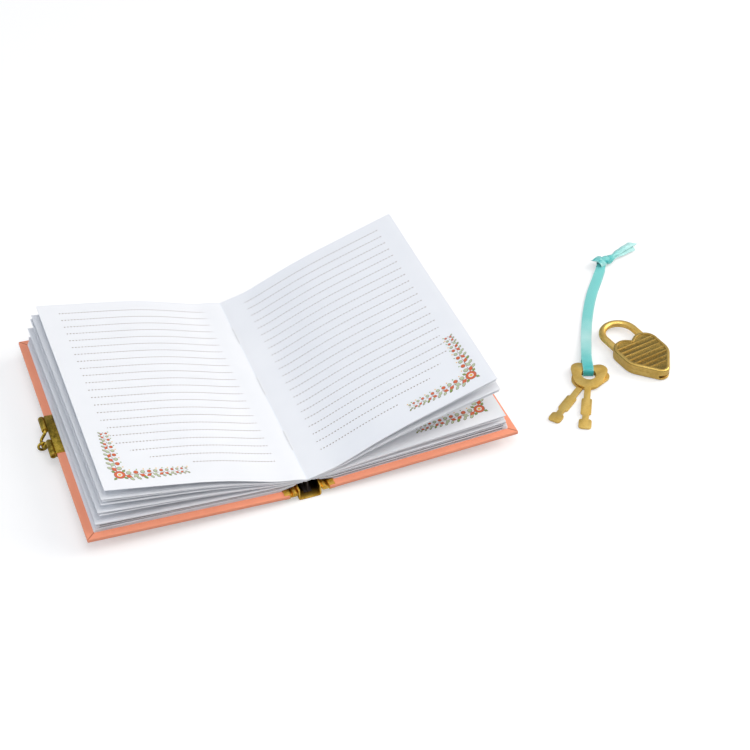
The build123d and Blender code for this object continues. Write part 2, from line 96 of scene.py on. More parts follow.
# %% Camera
azimuth, elevation = math.radians(-20.364), math.radians(40)
towards_camera = Vector(
    (math.sin(azimuth) * math.cos(elevation), -math.cos(azimuth) * math.cos(elevation), math.sin(elevation))
)
camera = bpy.data.objects.new("camera", bpy.data.cameras.new("camera"))
bpy.context.scene.collection.objects.link(camera)
camera.data.lens = 85.98
camera.data.sensor_width = 36
camera.location = Vector((-187.96, -673.63, 601.14)) * MM
camera.rotation_mode = "QUATERNION"
camera.rotation_quaternion = (-towards_camera).to_track_quat("-Z", "Y")
bpy.context.scene.camera = camera
print("camera", camera.data.lens, "mm lens")

# %% [markdown]
# ## Nodes for finishes
#
# Every finish below is a small network of shader nodes. A few helpers keep those networks short: they add a
# node and link or set its inputs, do arithmetic, and mix colours. Patterns are read from Object coordinates,
# or from a piece's own UV map where they have to follow a bent sheet.

# %% Node helpers
def feed(tree, node, inputs):
    """Links each socket given, or sets each plain value, on the inputs named."""
    for name, value in inputs.items():
        if isinstance(value, bpy.types.NodeSocket):
            tree.links.new(value, node.inputs[name])
        else:
            node.inputs[name].default_value = value
    return node


def put(tree, kind, inputs=None, **options):
    """Adds one shader node, with its options and its inputs."""
    made = tree.nodes.new("ShaderNode" + kind)
    for name, value in options.items():
        setattr(made, name, value)
    return feed(tree, made, inputs or {})


def reckon(tree, operation, *values):
    """One arithmetic step on sockets or plain numbers."""
    return put(tree, "Math", dict(enumerate(values)), operation=operation).outputs[0]


def times(tree, first, *others):
    """The product of several sockets or plain numbers."""
    product = first
    for value in others:
        product = reckon(tree, "MULTIPLY", product, value)
    return product


def range_of(tree, value, start, end, low=0.0, high=1.0):
    """Goes from low to high while the value goes from start to end, and no further."""
    inputs = {"Value": value, "From Min": start, "From Max": end, "To Min": low, "To Max": high}
    return put(tree, "MapRange", inputs).outputs[0]


def mix_of(tree, factor, under, over):
    """One colour laid over another."""
    inputs = {"Factor": factor, "A": under, "B": over}
    return put(tree, "Mix", inputs, data_type="RGBA").outputs["Result"]


def axes_of(tree, space="Object"):
    """X, Y and Z of the shaded place, in Object coordinates or on the UV map."""
    place = put(tree, "TexCoord").outputs[space]
    return list(put(tree, "SeparateXYZ", {"Vector": place}).outputs)


print("node helpers ready")

# %% Pattern and colour helpers
def ramp(tree, factor, stops, interpolation="LINEAR"):
    """Colours or greys along a 0 to 1 factor."""
    made = put(tree, "ValToRGB", {"Fac": factor})
    made.color_ramp.interpolation = interpolation
    while len(made.color_ramp.elements) < len(stops):
        made.color_ramp.elements.new(1.0)
    for element, (place, colour) in zip(made.color_ramp.elements, stops):
        element.position = place
        element.color = (colour,) * 3 + (1,) if isinstance(colour, float) else (*colour, 1)
    return made.outputs["Color"]


def noise(tree, scale, detail=3.0, rough=0.55):
    """A grey noise in Object coordinates."""
    place = put(tree, "TexCoord").outputs["Object"]
    inputs = {"Vector": place, "Scale": scale, "Detail": detail, "Roughness": rough}
    return put(tree, "TexNoise", inputs).outputs["Fac"]


def bump(tree, height, distance, strength=1.0, over=None):
    """A normal from a height map. distance is the depth in metres."""
    inputs = {"Height": height, "Distance": distance, "Strength": strength}
    if over is not None:
        inputs["Normal"] = over
    return put(tree, "Bump", inputs).outputs["Normal"]


def finish(name):
    """A new material, as (material, tree, shader)."""
    made = bpy.data.materials.new(name)
    made.use_nodes = True
    return made, made.node_tree, made.node_tree.nodes["Principled BSDF"]


print("pattern and colour helpers ready")

# %% [markdown]
# ## Table and light
#
# The book lies on a seamless white sweep. The main light is a large soft one on the right, so the page that
# leans towards it is bright and the other one a little grey. A smaller light in front catches the cut edges
# of the sheets and leaves the gaps between them dark. A wide one overhead, a low blue one on the left and a
# dim blue surround soften the shadows. The sweep glows faintly for the camera alone, as a white table does
# that is lit from below. The picture is kept straight, with no film curve, because whites should come out
# white.

# %% Table and light
TABLE_Z, TABLE_GLOW = -0.0002, 0.44
bpy.ops.object.select_all(action="DESELECT")
bpy.ops.mesh.primitive_plane_add(size=8, location=(0, 0, TABLE_Z))
table = bpy.context.object
table.name = "table"
sweep, tree, shader = finish("white_sweep")
seen = put(tree, "LightPath").outputs["Is Camera Ray"]
white = {
    "Base Color": ramp(tree, noise(tree, 3.0), [(0.0, 0.62), (1.0, 0.64)]),
    "Roughness": 0.9,
    "Emission Color": (1, 0.995, 0.985, 1),
    "Emission Strength": times(tree, seen, TABLE_GLOW),
}
feed(tree, shader, white)
table.data.materials.append(sweep)

world = bpy.data.worlds.new("studio")
bpy.context.scene.world = world
world.use_nodes = True
surround = world.node_tree.nodes["Background"]
feed(world.node_tree, surround, {"Color": (0.80, 0.88, 1.0, 1), "Strength": 0.29})
bpy.context.scene.view_settings.view_transform = "Standard"


def soft_light(name, place, aim, size, power, colour):
    """A square softbox that faces a point."""
    lamp = bpy.data.objects.new(name, bpy.data.lights.new(name, "AREA"))
    bpy.context.scene.collection.objects.link(lamp)
    lamp.data.size = size
    lamp.data.energy = power
    lamp.data.color = colour
    lamp.location = place
    lamp.rotation_euler = (Vector(aim) - Vector(place)).to_track_quat("-Z", "Y").to_euler()


soft_light("key_light", (1.3, -0.2, 0.95), (0.05, 0, 0), 1.2, 16.7, (1.0, 0.95, 0.885))
soft_light("front_light", (0.0, -0.75, 1.4), (0.05, 0, 0), 0.8, 7, (1.0, 0.995, 0.99))
soft_light("top_light", (-0.05, 0.25, 1.65), (0.05, 0, 0), 1.9, 6, (1.0, 0.99, 0.98))
soft_light("fill_light", (-1.45, 0.1, 0.5), (0, 0, 0), 1.2, 8, (0.84, 0.90, 1.0))
print("table and lights set")

# %% [markdown]
# ## Ribbon
#
# The keys hang on a doubled satin ribbon, a little over 5 mm wide, that is pushed through both bows and tied.
# A ribbon only bends flat-wise, so each strand is a grid laid along a route, with its width kept level. The
# lower strand lies on the table. The upper one climbs through the holes, over the front bow and down again.

# %% Ribbon places
hole = Vector((164.4, -43.6, 0))
plan = [(171.7, -25.2), (179.9, -8.2), (188.6, 7.6), (197.4, 21.2), (206.0, 32.4)]
run = (Vector((171.2, -25.0, 0)) - Vector((164.9, -42.3, 0))).normalized()
bow_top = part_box("ribbon_upper")[1][2] / MM
knot_at = Vector((214.4, 42.6, 2.95))
tail_way = Vector((0.925, 0.38, 0)).normalized()
image_left, image_up = Vector((-0.9375, 0.348, 0)), Vector((0.348, 0.9375, 0))


def distances(places):
    """How far along each place is."""
    return np.concatenate([[0], np.cumsum(np.linalg.norm(np.diff(places, axis=0), axis=1))])


def soft_curve(name, points, resolution=12):
    """A curve that passes softly through the points."""
    line = bpy.data.curves.new(name, "CURVE")
    line.dimensions = "3D"
    line.resolution_u = resolution
    spline = line.splines.new("BEZIER")
    spline.bezier_points.add(len(points) - 1)
    for knob, place in zip(spline.bezier_points, points):
        knob.co = place
        knob.handle_left_type = knob.handle_right_type = "AUTO"
    holder = bpy.data.objects.new(name, line)
    bpy.context.scene.collection.objects.link(holder)
    return holder


def smooth_route(points, step=0.8):
    """A soft curve through the points, as evenly spaced places."""
    holder = soft_curve("route", points, 24)
    drawn = holder.to_mesh()
    places = np.array([v.co for v in drawn.vertices])
    holder.to_mesh_clear()
    bpy.data.objects.remove(holder)
    walked = distances(places)
    even = np.linspace(0, walked[-1], max(8, int(walked[-1] / step)))
    return np.stack([np.interp(even, walked, places[:, i]) for i in range(3)], axis=1)


def by_hole(along, height):
    """A place beside the keys' holes, measured along the ribbon and up from the table."""
    return (*(hole + run * along).xy, height)


def by_knot(along, across, height):
    """A place beside the knot, measured along the tails, across them and up from the knot."""
    aside = Vector((-tail_way.y, tail_way.x, 0))
    return tuple(knot_at + tail_way * along + aside * across + Vector((0, 0, height)))


print("the ribbon climbs to", round(bow_top, 2), "mm over the bows")

# %% Ribbon routes
upper_route = smooth_route(
    [by_hole(1.7, 0.75), by_hole(1.75, 2.2), by_hole(2.7, bow_top - 0.35), by_hole(6.5, bow_top - 0.12)]
    + [by_hole(13.0, bow_top - 0.25), (*plan[0], bow_top - 1.4), (*plan[1], 1.15)]
    + [(x, y, 0.8) for x, y in plan[2:]]
    + [tuple(knot_at - Vector((4.6, 5.6, 1.2))), tuple(knot_at + Vector((0, 0, 0.3)))]
    + [by_knot(4.5, 0.2, 0.5), by_knot(9.0, 0.3, 0.4), by_knot(17.0, 0.8, 0.3), by_knot(27.0, 1.5, -0.6)]
)
lower_route = smooth_route(
    [by_hole(1.9, 0.3), by_hole(6.0, 0.22), by_hole(12.0, 0.2)]
    + [(x + 0.25, y - 0.1, 0.2) for x, y in plan]
    + [tuple(knot_at - Vector((4.5, 5.6, 2.0))), tuple(knot_at - Vector((0, 0, 0.6)))]
    + [by_knot(4.5, -0.3, -0.5), by_knot(9.0, -0.2, -0.6)]
    + [by_knot(16.5, -0.5, -1.2), by_knot(26.0, -0.8, -2.0)]
)
print("strands", round(distances(upper_route)[-1]), "and", round(distances(lower_route)[-1]), "mm long")

# %% [markdown]
# Satin is woven so that long threads float on its face. That gives a soft sheen along the ribbon, fine
# lines along it, and a beaded edge where the weft turns back. Shade is painted into the colour at the fold in
# the keys and in the knot, and a highlight is painted where the ribbon rises over the front bow and on its
# tails.

# %% Satin
satin, tree, shader = finish("turquoise_satin")
uv = put(tree, "TexCoord").outputs["UV"]
crosswise, lengthwise, _ = axes_of(tree, "UV")
floats = {"Vector": uv, "Scale": 60.0, "Distortion": 0.6, "Detail": 2.0}
threads = put(tree, "TexWave", floats, bands_direction="X").outputs["Fac"]
edge = reckon(tree, "ABSOLUTE", reckon(tree, "SUBTRACT", crosswise, 0.5))
selvedge = range_of(tree, edge, 0.4, 0.44)
picks = reckon(tree, "SINE", times(tree, lengthwise, 900.0))
patchy = reckon(tree, "SUBTRACT", noise(tree, 90.0, 2.0), 0.5)
along = reckon(tree, "ADD", lengthwise, times(tree, patchy, 0.12))
# Painted shade and painted highlight: the ramp darkens the colour at the fold in the keys and in the knot,
# and makes it pale where the ribbon rises over the front bow and on its tails.
in_shade, middle, pale = (0.045, 0.52, 0.51), (0.21, 0.68, 0.65), (0.50, 0.85, 0.82)
near_keys = [(0.02, in_shade), (0.12, middle), (0.25, pale), (0.4, middle)]
near_knot = [(0.72, middle), (0.8, in_shade), (0.86, middle), (0.94, pale)]
hue = ramp(tree, along, near_keys + near_knot)
beads = times(tree, selvedge, reckon(tree, "MULTIPLY_ADD", picks, 0.22, 0.22))
relief = reckon(tree, "ADD", threads, times(tree, picks, selvedge, 1.5))
glossy = {
    "Base Color": mix_of(tree, beads, hue, (0.55, 0.84, 0.80, 1)),
    "Normal": bump(tree, relief, 0.00004, 0.5),
    "Roughness": 0.36,
    "Specular IOR Level": 0.6,
    "Sheen Weight": 0.2,
}
feed(tree, shader, glossy)
print("satin ready")

# %% [markdown]
# A strand is a grid whose rows stand across the route. The rows are level and slightly cupped. The knot
# gathers them, they open again behind it, and then a second pinch folds the two tails to half their width.

# %% A strip along a route
CUT_REACH, COLUMNS = 2.5, 11


def lay_strip(name, route, width_at, rise_at, slant, across=None):
    """A strip along a route. width_at and rise_at give millimetres at a distance along it."""
    rows = len(route)
    bpy.ops.object.select_all(action="DESELECT")
    bpy.ops.mesh.primitive_grid_add(x_subdivisions=COLUMNS - 1, y_subdivisions=rows - 1, size=2)
    strip = bpy.context.object
    strip.name = name
    walked = distances(route)
    ahead = np.gradient(route, axis=0)
    ahead /= np.linalg.norm(ahead, axis=1)[:, None]
    level = np.cross([0.0, 0.0, 1.0], ahead)
    level[np.linalg.norm(level, axis=1) < 0.5] = np.cross([0.0, 0.0, 1.0], run)
    level /= np.linalg.norm(level, axis=1)[:, None]
    if across is not None:
        level = across
    up = np.cross(ahead, level)
    for corner in strip.data.vertices:
        side, share = corner.co.x, (corner.co.y + 1) / 2
        row = share * (rows - 1)
        i = min(int(row), rows - 2)
        mix = row - i
        spot, wide, high, on = [a[i] * (1 - mix) + a[i + 1] * mix for a in (route, level, up, ahead)]
        far = walked[i] * (1 - mix) + walked[i + 1] * mix
        end = max(0.0, 1 - (walked[-1] - far) / CUT_REACH)
        place = spot - wide * side * width_at(far) / 2 + high * rise_at(far, side) + on * end * slant(side)
        corner.co = Vector(place) * MM
    return strip


print("strips have", COLUMNS, "columns")

# %% Thickness and shading
def pick(piece):
    """Selects one piece alone, because an operator acts on all that is selected."""
    bpy.ops.object.select_all(action="DESELECT")
    bpy.context.view_layer.objects.active = piece
    piece.select_set(True)
    return piece


def add_thickness(piece, thickness, offset=0.0, rim=0):
    """Gives a sheet its thickness, in millimetres. Its cut edge may take an earlier material of the piece."""
    wall = pick(piece).modifiers.new("thickness", "SOLIDIFY")
    wall.thickness = thickness * MM
    wall.offset = offset
    wall.material_offset_rim = rim
    bpy.ops.object.modifier_apply(modifier="thickness")
    return piece


def smooth(piece, degrees):
    """Shades a piece smooth, apart from edges that are sharper than the angle."""
    pick(piece)
    bpy.ops.object.shade_smooth_by_angle(angle=math.radians(degrees))
    return piece


print("thickness and shading helpers ready")

# %% Ribbon strands
RIBBON_T = 0.22


def dress_ribbon(piece):
    """Thickness, finish and body of a piece of the ribbon."""
    smooth(add_thickness(piece, RIBBON_T), 60)
    piece.data.materials.append(satin)
    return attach(piece, "key_ribbon")


def knot_distance(route):
    """How far along a route the knot's middle is."""
    return float(distances(route)[np.linalg.norm(route - np.array(knot_at), axis=1).argmin()])


def gathered(places, values, middle):
    """A value along the ribbon, given at distances from the knot's middle."""
    return lambda s: float(np.interp(s - middle, places, values))


routes = {"ribbon_upper_strand": upper_route, "ribbon_lower_strand": lower_route}
slants = {"ribbon_upper_strand": 1.7, "ribbon_lower_strand": -1.5}
strands = {}
for name, route in routes.items():
    middle, slant = knot_distance(route), slants[name]
    width_at = gathered([-9, -3.5, 0, 3.0, 9.5, 13, 28], [5.5, 5.2, 3.6, 6.2, 2.3, 3.6, 4.6], middle)
    fold_at = gathered([-6, 0, 5, 9, 28], [0.0, 0.5, 0.35, 0.75, 0.6], middle)
    strip = lay_strip(
        name,
        route,
        width_at,
        lambda s, side: 0.14 * (1 - side * side) + fold_at(s) * (0.5 - abs(side + 0.15 * math.sin(s))),
        lambda side: slant * side - 0.9 * (1 - abs(side)),
    )
    strands[name] = dress_ribbon(strip)
print("ribbon strands", [len(s.data.polygons) for s in strands.values()], "faces")

# %% [markdown]
# The knot is the ribbon's own strands, turned round themselves and pulled tight. A strip on a short spiral
# makes the crossing band, wide enough that its turns overlap. The fold that the pull leaves over stands out
# at the left as a small ear with two sharp corners.

# %% Ribbon knot
KNOT_ROWS, KNOT_TURNS, KNOT_LENGTH = 72, 1.6, 5.2
turns = np.linspace(0, 1, KNOT_ROWS)
spin = turns * 2 * math.pi * KNOT_TURNS + 0.9
tail_line, side_line = np.array(tail_way), np.array(Vector((0, 0, 1)).cross(tail_way))
core = np.array(knot_at) + np.outer((turns - 0.5) * KNOT_LENGTH, tail_line)
swell = 2.2 + 0.75 * np.sin(turns * math.pi)
knot_route = core + np.outer(swell * np.cos(spin), side_line) + np.outer(swell * np.sin(spin), [0, 0, 0.95])
along_core = tail_line + 0.4 * np.gradient(knot_route, axis=0)
along_core /= np.linalg.norm(along_core, axis=1)[:, None]
knot = lay_strip(
    "ribbon_knot_wrap",
    knot_route,
    lambda s: 4.0 + 1.4 * math.sin(min(s / 26, 1) * math.pi),
    lambda s, side: 0.2 * math.cos(side * 5.0 + s * 0.3) - 0.5 * side * side,
    lambda side: 0.0,
    across=along_core,
)
lean, up = knot_at + Vector((0, 0, 1.2)), Vector((0, 0, 1))
ear_places = [
    lean - image_left * 0.5,
    lean + image_left * 1.6 + up * 1.0,
    lean + image_left * 3.4 + image_up * 1.0 + up * 0.7,
    lean + image_left * 4.6 + image_up * 2.2,
]
ear_route = smooth_route([tuple(place) for place in ear_places], 0.25)
ear = lay_strip(
    "ribbon_knot_ear",
    ear_route,
    lambda s: 4.2 + 0.4 * s,
    lambda s, side: 0.3 * math.cos(side * 4.0),
    lambda side: 1.1 * abs(side) + 0.5 * side - 0.6,
)
for piece in (knot, ear):
    dress_ribbon(piece)
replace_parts(knot, "ribbon_knot", "ribbon_tails")
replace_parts(strands["ribbon_upper_strand"], "ribbon_upper")
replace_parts(strands["ribbon_lower_strand"], "ribbon_lower")
print("knot", len(knot.data.polygons), "faces, ear", len(ear.data.polygons))

# %% [markdown]
# ## Pages
#
# The paper is a soft, slightly cool white. Each page is ruled with dotted lines that stop short near its
# outer lower corner, where the ornament goes. The ruling is worked out in the shader from the page's UV map,
# in millimetres, so it bends with the sheet and prints on both sides.

# %% Paper
def paper_base(tree, shader):
    """Fibres and a faint mottle, shared by plain and ruled paper."""
    fibres = noise(tree, 2600.0, 3.0)
    cloud = noise(tree, 45.0, 2.0)
    matt = {"Normal": bump(tree, fibres, 0.00002, 0.35), "Roughness": 0.82, "Specular IOR Level": 0.25}
    feed(tree, shader, matt)
    return ramp(tree, cloud, [(0.3, (0.87, 0.882, 0.91)), (0.7, (0.895, 0.905, 0.93))])


plain_paper, tree, shader = finish("plain_paper")
feed(tree, shader, {"Base Color": paper_base(tree, shader)})

# Painted shade: the paper darkened towards a bluish near black, for the faces beside the gaps between
# bundles.
gap_shade_paper, tree, shader = finish("paper_with_painted_gap_shade")
feed(tree, shader, {"Base Color": mix_of(tree, 0.62, paper_base(tree, shader), (0.10, 0.095, 0.12, 1))})
print("plain paper ready")

# %% Ruled paper
PAGE_W, PAGE_H = 103.0, 148.0
LINE_PITCH, FIRST_LINE, LINES, LINE_HALF = 5.95, 8.0, 22, 0.25
DOT_PITCH, DOT_SHARE = 1.7, 0.42
FOLD_MARGIN = 0.118
FORE_MARGINS = {0: 0.094, 15: 0.105, 16: 0.122, 18: 0.134, 19: 0.19, 20: 0.27, 21: 0.465}
ruled_paper, tree, shader = finish("ruled_paper")
shade = paper_base(tree, shader)
from_fold, from_tail, _ = axes_of(tree, "UV")
from_head = times(tree, reckon(tree, "SUBTRACT", 1.0, from_tail), PAGE_H)
past_first = reckon(tree, "SUBTRACT", from_head, FIRST_LINE)
row = reckon(tree, "ADD", reckon(tree, "DIVIDE", past_first, LINE_PITCH), 0.5)
off_line = reckon(tree, "ABSOLUTE", reckon(tree, "SUBTRACT", reckon(tree, "FRACT", row), 0.5))
on_line = reckon(tree, "LESS_THAN", off_line, LINE_HALF / LINE_PITCH)
dots = reckon(tree, "FRACT", times(tree, from_fold, PAGE_W / DOT_PITCH))
on_dot = reckon(tree, "LESS_THAN", dots, DOT_SHARE)
from_first = reckon(tree, "GREATER_THAN", row, 0.0)
to_last = reckon(tree, "LESS_THAN", row, float(LINES))
row_share = reckon(tree, "DIVIDE", row, float(LINES))
stops_at = ramp(tree, row_share, [(line / LINES, share) for line, share in FORE_MARGINS.items()], "CONSTANT")
short_of_fore = reckon(tree, "GREATER_THAN", reckon(tree, "SUBTRACT", 1.0, from_fold), stops_at)
clear_of_fold = reckon(tree, "GREATER_THAN", from_fold, FOLD_MARGIN)
uneven = reckon(tree, "MULTIPLY_ADD", noise(tree, 900.0), 0.5, 0.75)
ink = times(tree, on_line, on_dot, from_first, to_last, short_of_fore, clear_of_fold, uneven)
feed(tree, shader, {"Base Color": mix_of(tree, ink, shade, (0.15, 0.065, 0.025, 1))})
print("ruled paper ready,", LINES, "lines")

# %% [markdown]
# ## Loose leaves
#
# Each loose leaf rises out of the fold and fans out. Its profile is read from the top of its own solid, so
# the drawn sheet and the moving one never part. A grid takes that profile, with a slight wave and twist
# added, and a thin wall. Some leaves have a second sheet close beneath them.

# %% Leaf profiles
def top_line(node):
    """The profile of a leaf's upper face, from fold to fore-edge, as (x, z) in millimetres."""
    mesh = nodes[node].data
    seen = set()
    for face in mesh.polygons:
        if face.normal.z > 0.2:
            for corner in face.vertices:
                x, y, z = mesh.vertices[corner].co / MM
                if y < 0.1 - PAGE_H / 2:
                    seen.add((round(x, 3), round(z, 3)))
    return np.array(sorted(seen, key=lambda p: abs(p[0])))


def walk(line, shares):
    """Places at even shares of a profile's length."""
    steps = np.concatenate([[0], np.cumsum(np.hypot(*np.diff(line, axis=0).T))])
    return np.stack([np.interp(np.asarray(shares) * steps[-1], steps, line[:, i]) for i in (0, 1)], axis=1)


def even_profile(node, count=90):
    """The profile with the kinks of its facets rubbed out."""
    line = walk(top_line(node), np.linspace(0, 1, 240))
    line[0, 0] *= 0.3
    for _ in range(24):
        line[1:-1] = (line[:-2] + 2 * line[1:-1] + line[2:]) / 4
    return walk(line, np.linspace(0, 1, count))


print("top leaf rises to", round(float(top_line("back_leaf_1")[:, 1].max()), 1), "mm")

# %% Leaf sheets
TWISTS = {"front_leaf_2": 1.2, "front_leaf_3": 1.5, "front_leaf_4": 1.6, "back_leaf_2": 0.5}
DROPS = {"front_leaf_2": 0.8, "front_leaf_4": 1.5, "back_leaf_1": 0.5, "back_leaf_2": 0.9, "back_leaf_3": 1.1}
LEAF_T, UNDER_GAP = 0.22, 0.3
UNDER_START, UNDER_SHARE = 0.08, 0.915
FOLD_EASE = 1.25
wave = random.Random(4)
profiles = {}


def leaf_height(profile, u, v, sway, twist=0.0, drop=0.0):
    """A place on the leaf, at shares u from the fold and v from the tail. A drop lowers its fore-edge."""
    x, z = walk(profile, [u])[0]
    ripple = u * u * (0.35 * math.sin(3.2 * v + sway) + 0.18 * math.sin(9.0 * v + 2 * sway))
    outward = math.copysign(1.0, profile[-1][0])
    lower = min(drop, UNDER_GAP) + drop * u * u
    return x + outward * u * twist * (v - 0.4), PAGE_H * (v - 0.5), z + ripple - lower


def flatten_leaf(sheet, node):
    """Gives the leaf its own copy of its mesh. The line from fold to fore-edge and its lean are worked out
    but not used.
    """
    side = node.split("_")[0]
    line = profiles[node if side == "front" else "back_leaf_3"][0]
    (x0, z0), (x1, z1) = line[0], line[-1]
    lean = Vector((-(z1 - z0), 0, x1 - x0)).normalized()
    lean = lean if lean.z > 0 else -lean
    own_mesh(sheet)


def make_sheet(node, name, drop):
    """One sheet on a leaf's profile. With a drop it is the second sheet, close beneath the first."""
    profile, sway = profiles[node]
    twist = TWISTS.get(node, 0.0) + 0.3 * drop
    bpy.ops.object.select_all(action="DESELECT")
    bpy.ops.mesh.primitive_grid_add(x_subdivisions=64, y_subdivisions=20, size=2, calc_uvs=True)
    sheet = bpy.context.object
    sheet.name = name
    for corner in sheet.data.vertices:
        u, v = ((corner.co.x + 1) / 2) ** FOLD_EASE, (corner.co.y + 1) / 2
        u = u if drop == 0 else UNDER_START + UNDER_SHARE * u
        corner.co = Vector(leaf_height(profile, u, v, sway, twist, drop)) * MM
    for mapped in sheet.data.uv_layers.active.data:
        mapped.uv.x = mapped.uv.x**FOLD_EASE
    if profile[-1][0] < 0:
        sheet.data.flip_normals()
    smooth(add_thickness(sheet, LEAF_T, -1.0), 50)
    sheet.data.materials.append(ruled_paper)
    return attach(sheet, node)


leaves = {}
for node in [f"front_leaf_{i}" for i in (1, 2, 3, 4)] + [f"back_leaf_{i}" for i in (3, 1, 2)]:
    profiles[node] = (even_profile(node), wave.uniform(0, 6.28))
    leaves[node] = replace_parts(make_sheet(node, node + "_sheet", 0.0), node)
    flatten_leaf(leaves[node], node)
    if node in DROPS:
        leaves[node + "_under"] = make_sheet(node, node + "_under_sheet", DROPS[node])
        flatten_leaf(leaves[node + "_under"], node)
print("leaves", {n: len(s.data.polygons) for n, s in leaves.items()})

# %% [markdown]
# ## Corner ornament
#
# A chain of beads and lozenges on a thin stem grows smaller as it leaves the ring in the page's outer lower
# corner, along the tail and up the fore-edge. Each motif is a flat outline that lies just above the paper on
# the same profile. A slightly larger brown one beneath it makes the pen line.

# %% Ornament inks
def ink_finish(name, colour):
    """A printed ink that thins a little over the paper's grain."""
    made, tree, shader = finish(name)
    worn = ramp(tree, noise(tree, 1500.0), [(0.25, tuple(0.82 * c + 0.1 for c in colour)), (0.6, colour)])
    feed(tree, shader, {"Base Color": worn, "Roughness": 0.7})
    return made


inks = {
    "coral": ink_finish("coral_ink", (0.72, 0.12, 0.03)),
    "green": ink_finish("green_ink", (0.22, 0.36, 0.05)),
    "pale": ink_finish("pale_green_ink", (0.52, 0.60, 0.38)),
    "yellow": ink_finish("yellow_ink", (0.88, 0.52, 0.06)),
    "line": ink_finish("brown_line_ink", (0.22, 0.11, 0.05)),
    "stem": ink_finish("brown_stem_ink", (0.25, 0.12, 0.05)),
    "paper": plain_paper,
}
print("inks", list(inks))

# %% Ornament motifs
RING_AT = 10.0


def chain_link(i, place):
    """One link's motifs, as (from fore-edge, from tail, long, short, turn, corners, ink), and its length."""
    size, odd = 1.75 - 0.1 * i, i % 2
    tint = "pale" if i % 3 == 1 else "coral"
    lozenge = (place, RING_AT - 1.6, size, 0.62 * size, 32 if odd else -32, 4, tint)
    bead = (place + 0.4, RING_AT + 0.9, 0.62 * size, 0.62 * size, 0, 10, "coral" if odd else "pale")
    speck = (place + 1.2, RING_AT + 2.9 - 0.1 * i, 0.36, 0.36, 0, 8, "green" if odd else "yellow")
    shade = "green" if i % 4 == 2 else "pale"
    grain = (place + 1.1, RING_AT - 3.5 + 0.12 * i, 0.72 * size, 0.36 * size, -50, 8, shade)
    stem = (place + 0.9 * size, RING_AT - 0.5, 0.95 * size, 0.13, 0, 4, "stem")
    return [lozenge, bead, speck, grain, stem], 1.45 * size + 0.95


def ornament_motifs():
    """Every motif of one corner, the ring first, in millimetres and degrees."""
    rings = ((2.6, 20, "coral"), (1.3, 20, "paper"), (0.85, 12, "yellow"))
    motifs = [(RING_AT, RING_AT, radius, radius, 0, corners, ink) for radius, corners, ink in rings]
    for turn in (45, 135, 225, 315):
        a = math.radians(turn)
        aside, above = 3.6 * math.cos(a), 3.6 * math.sin(a)
        motifs.append((RING_AT + aside, RING_AT + above, 1.15, 0.62, turn, 4, "green"))
    for upright, count in ((False, 11), (True, 10)):
        place = RING_AT + 4.2
        for i in range(count):
            link, length = chain_link(i, place)
            if upright:
                link = [(b, a, long, short, 90 - turn, *rest) for a, b, long, short, turn, *rest in link]
            motifs += link
            place += length
    return motifs


print("motifs on a page", len(ornament_motifs()))

# %% Ornament on the pages
PEN_LINE, PEN_LIFT, INK_LIFT = 0.2, 0.035, 0.05


def join(pieces, name):
    """Several meshes made into one."""
    bpy.ops.object.select_all(action="DESELECT")
    for piece in pieces:
        piece.select_set(True)
    bpy.context.view_layer.objects.active = pieces[0]
    bpy.ops.object.join()
    bpy.context.object.name = name
    return bpy.context.object


def print_motif(motif, node, grow, lift, ink):
    """One motif laid on a leaf."""
    profile, sway = profiles[node]
    from_fore, from_tail, long, short, turn, corners, _ = motif
    bpy.ops.object.select_all(action="DESELECT")
    bpy.ops.mesh.primitive_circle_add(vertices=corners, radius=1, fill_type="NGON")
    disc = bpy.context.object
    c, s = math.cos(math.radians(turn)), math.sin(math.radians(turn))
    for corner in disc.data.vertices:
        a, b = corner.co.x * (long + grow), corner.co.y * (short + grow)
        u = 1 - (from_fore + a * c - b * s) / PAGE_W
        v = (from_tail + a * s + b * c) / PAGE_H
        x, y, z = leaf_height(profile, u, v, sway)
        corner.co = Vector((x, y, z + lift)) * MM
    if disc.data.polygons[0].normal.z < 0:
        disc.data.flip_normals()
    disc.data.materials.append(inks[ink])
    return disc


def print_ornament(node):
    """All the motifs of one page, as a single thin mesh on its leaf."""
    discs = []
    for layer, motif in enumerate(ornament_motifs()):
        ink_top = INK_LIFT + 0.015 * min(layer, 3) + 0.0002 * layer
        if motif[-1] not in ("paper", "stem") and motif[2] > 0.4:
            discs.append(print_motif(motif, node, PEN_LINE, PEN_LIFT, "line"))
        discs.append(print_motif(motif, node, 0.0, ink_top, motif[-1]))
    art = join(discs, node + "_ornament")
    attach(art, node)
    flatten_leaf(art, node)
    return art


for node in ("front_leaf_1", "back_leaf_1", "back_leaf_3"):
    art = print_ornament(node)
    print(art.name, len(art.data.polygons), "motif faces")

# %% [markdown]
# ## Page block
#
# The pages that lie on the covers are folded bundles. Their edges show as fine lines because no two sheets
# end in quite the same place, and a dark gap shows between bundles. Each bundle is modelled as thin sheets
# that run over the hinge and thin out towards the fold, and spread a little towards the fore-edge. The faces
# beside a gap carry painted shade, a paper darkened towards near black, as so little light reaches them. The
# sheets are shaped to curve between the spine and the cover.

# %% Page block shape
HINGE_X, HINGE_Z, OPEN_DEGREES = 7.35, 4.2, 2.7
TILT = math.tan(math.radians(OPEN_DEGREES))
FLOOR_Z, CEILING_Z, OVER_HINGE_Z = 5.06, 8.76, 6.74


def block_floor(x):
    """The lowest page above the cover, rising over the hinge and the channel's wall near the fold."""
    flat = FLOOR_Z + (x - HINGE_X) * TILT
    over_hinge = OVER_HINGE_Z - 0.03 * (x - 5.5)
    share = min(1.0, max(0.0, (x - 7.0) / 8.0))
    share = share * share * (3 - 2 * share)
    return over_hinge * (1 - share) + flat * share


def block_ceiling(x):
    """The top page, which dips into the fold."""
    dip = max(0.0, (6.0 - x) / 5.0)
    return CEILING_Z + (x - HINGE_X) * TILT - 0.9 * dip * dip


print("page block", round(block_ceiling(60) - block_floor(60), 2), "mm thick")

